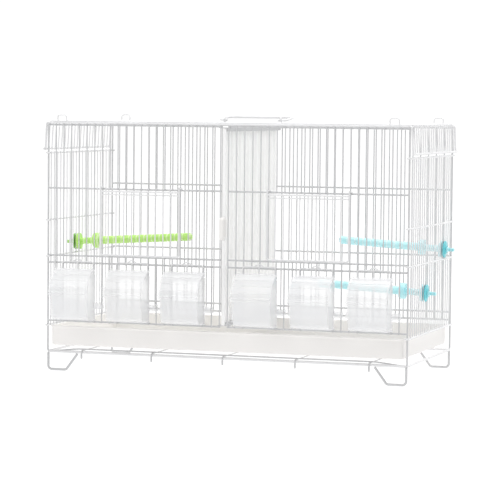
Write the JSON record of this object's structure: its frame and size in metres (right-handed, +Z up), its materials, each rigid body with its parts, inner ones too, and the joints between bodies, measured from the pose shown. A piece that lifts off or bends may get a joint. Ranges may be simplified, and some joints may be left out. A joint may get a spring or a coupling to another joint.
{
  "type": "canary breeding cage",
  "caption": "White wire breeding cage with a pull-out divider and tray, lift-up doors and gates, hung clear feeders with hinged hoods, perches and a carrying handle.",
  "frame": {"origin": "on the ground, in the middle of the four corner posts", "axes": "+X to the right along the front, +Y to the back, +Z up"},
  "size_m": [0.6404, 0.3341, 0.4142],
  "materials": {
    "white_wire": "glossy white coating",
    "tray_plastic": "satin",
    "clear_plastic": "clear moulded",
    "green_plastic": "satin",
    "blue_plastic": "satin"
  },
  "bodies": {
    "cage": {"base_frame": "white_wire", "tray_runners": "white_wire", "feet": "white_wire", "corner_posts": "white_wire", "front_upper_left": "white_wire", "front_upper_right": "white_wire", "front_jambs_left": "white_wire", "front_jambs_right": "white_wire", "front_rails_left": "white_wire", "front_rails_right": "white_wire", "front_piers_left": "white_wire", "front_piers_right": "white_wire", "back_wall": "white_wire", "end_wall_left": "white_wire", "end_wall_right": "white_wire", "top_grille": "white_wire", "top_skirt_left": "white_wire", "top_skirt_right": "white_wire", "stacking_clips": "white_wire", "handle_eyes": "white_wire", "divider_channel_top": "white_wire", "divider_channel_bottom": "white_wire", "perch_green": "green_plastic", "perch_blue_high": "blue_plastic", "perch_blue_low": "blue_plastic"},
    "door_left": {"door_left": "white_wire", "door_guides_left": "white_wire"},
    "door_right": {"door_right": "white_wire", "door_guides_right": "white_wire"},
    "gate_1": {"gate_1": "white_wire", "gate_guides_1": "white_wire"},
    "feeder_1": {"feeder_tub_1": "clear_plastic"},
    "hood_1": {"feeder_hood_1": "clear_plastic"},
    "gate_2": {"gate_2": "white_wire", "gate_guides_2": "white_wire"},
    "feeder_2": {"feeder_tub_2": "clear_plastic"},
    "hood_2": {"feeder_hood_2": "clear_plastic"},
    "gate_3": {"gate_3": "white_wire", "gate_guides_3": "white_wire"},
    "feeder_3": {"feeder_tub_3": "clear_plastic"},
    "hood_3": {"feeder_hood_3": "clear_plastic"},
    "gate_4": {"gate_4": "white_wire", "gate_guides_4": "white_wire"},
    "feeder_4": {"feeder_tub_4": "clear_plastic"},
    "hood_4": {"feeder_hood_4": "clear_plastic"},
    "gate_5": {"gate_5": "white_wire", "gate_guides_5": "white_wire"},
    "feeder_5": {"feeder_tub_5": "clear_plastic"},
    "hood_5": {"feeder_hood_5": "clear_plastic"},
    "gate_6": {"gate_6": "white_wire", "gate_guides_6": "white_wire"},
    "feeder_6": {"feeder_tub_6": "clear_plastic"},
    "hood_6": {"feeder_hood_6": "clear_plastic"},
    "tray": {"tray": "tray_plastic"},
    "divider": {"divider": "tray_plastic", "divider_knob": "tray_plastic"},
    "handle": {"handle": "white_wire"},
    "nut_green": {"perch_nut_green": "green_plastic"},
    "nut_blue_high": {"perch_nut_blue_high": "blue_plastic"},
    "nut_blue_low": {"perch_nut_blue_low": "blue_plastic"}
  },
  "joints": [
    {"name": "door_left_lift", "type": "slide", "parent": "cage", "child": "door_left", "axis": [0, 0, 1], "range_m": [0, 0.09]},
    {"name": "door_right_lift", "type": "slide", "parent": "cage", "child": "door_right", "axis": [0, 0, 1], "range_m": [0, 0.09]},
    {"name": "gate_1_lift", "type": "slide", "parent": "cage", "child": "gate_1", "axis": [0, 0, 1], "range_m": [0, 0.08]},
    {"name": "feeder_1_unhook", "type": "slide", "parent": "cage", "child": "feeder_1", "axis": [0, -1, 0], "range_m": [0, 0.06]},
    {"name": "hood_1_open", "type": "hinge", "parent": "feeder_1", "child": "hood_1", "pos_m": [-0.24667, -0.1506, 0.1626], "axis": [-1, 0, 0], "range_deg": [0, 60]},
    {"name": "gate_2_lift", "type": "slide", "parent": "cage", "child": "gate_2", "axis": [0, 0, 1], "range_m": [0, 0.08]},
    {"name": "feeder_2_unhook", "type": "slide", "parent": "cage", "child": "feeder_2", "axis": [0, -1, 0], "range_m": [0, 0.06]},
    {"name": "hood_2_open", "type": "hinge", "parent": "feeder_2", "child": "hood_2", "pos_m": [-0.15333, -0.1506, 0.1626], "axis": [-1, 0, 0], "range_deg": [0, 60]},
    {"name": "gate_3_lift", "type": "slide", "parent": "cage", "child": "gate_3", "axis": [0, 0, 1], "range_m": [0, 0.08]},
    {"name": "feeder_3_unhook", "type": "slide", "parent": "cage", "child": "feeder_3", "axis": [0, -1, 0], "range_m": [0, 0.06]},
    {"name": "hood_3_open", "type": "hinge", "parent": "feeder_3", "child": "hood_3", "pos_m": [-0.06, -0.1506, 0.1626], "axis": [-1, 0, 0], "range_deg": [0, 60]},
    {"name": "gate_4_lift", "type": "slide", "parent": "cage", "child": "gate_4", "axis": [0, 0, 1], "range_m": [0, 0.08]},
    {"name": "feeder_4_unhook", "type": "slide", "parent": "cage", "child": "feeder_4", "axis": [0, -1, 0], "range_m": [0, 0.06]},
    {"name": "hood_4_open", "type": "hinge", "parent": "feeder_4", "child": "hood_4", "pos_m": [0.06, -0.1506, 0.1626], "axis": [-1, 0, 0], "range_deg": [0, 60]},
    {"name": "gate_5_lift", "type": "slide", "parent": "cage", "child": "gate_5", "axis": [0, 0, 1], "range_m": [0, 0.08]},
    {"name": "feeder_5_unhook", "type": "slide", "parent": "cage", "child": "feeder_5", "axis": [0, -1, 0], "range_m": [0, 0.06]},
    {"name": "hood_5_open", "type": "hinge", "parent": "feeder_5", "child": "hood_5", "pos_m": [0.15333, -0.1506, 0.1626], "axis": [-1, 0, 0], "range_deg": [0, 60]},
    {"name": "gate_6_lift", "type": "slide", "parent": "cage", "child": "gate_6", "axis": [0, 0, 1], "range_m": [0, 0.08]},
    {"name": "feeder_6_unhook", "type": "slide", "parent": "cage", "child": "feeder_6", "axis": [0, -1, 0], "range_m": [0, 0.06]},
    {"name": "hood_6_open", "type": "hinge", "parent": "feeder_6", "child": "hood_6", "pos_m": [0.24667, -0.1506, 0.1626], "axis": [-1, 0, 0], "range_deg": [0, 60]},
    {"name": "tray_pull", "type": "slide", "parent": "cage", "child": "tray", "axis": [0, -1, 0], "range_m": [0, 0.24]},
    {"name": "divider_pull", "type": "slide", "parent": "cage", "child": "divider", "axis": [0, -1, 0], "range_m": [0, 0.27]},
    {"name": "handle_swing", "type": "hinge", "parent": "cage", "child": "handle", "pos_m": [0, 0, 0.4073], "axis": [1, 0, 0], "range_deg": [0, 160]},
    {"name": "nut_green_turn", "type": "hinge", "parent": "cage", "child": "nut_green", "pos_m": [-0.30105, -0.01333, 0.203], "axis": [0.9981, 0, 0.061], "continuous": true},
    {"name": "nut_blue_high_turn", "type": "hinge", "parent": "cage", "child": "nut_blue_high", "pos_m": [0.30105, 0.08, 0.201], "axis": [-0.9981, 0, 0.061], "continuous": true},
    {"name": "nut_blue_low_turn", "type": "hinge", "parent": "cage", "child": "nut_blue_low", "pos_m": [0.30105, -0.04, 0.138], "axis": [-0.9981, 0, 0.061], "continuous": true}
  ]
}
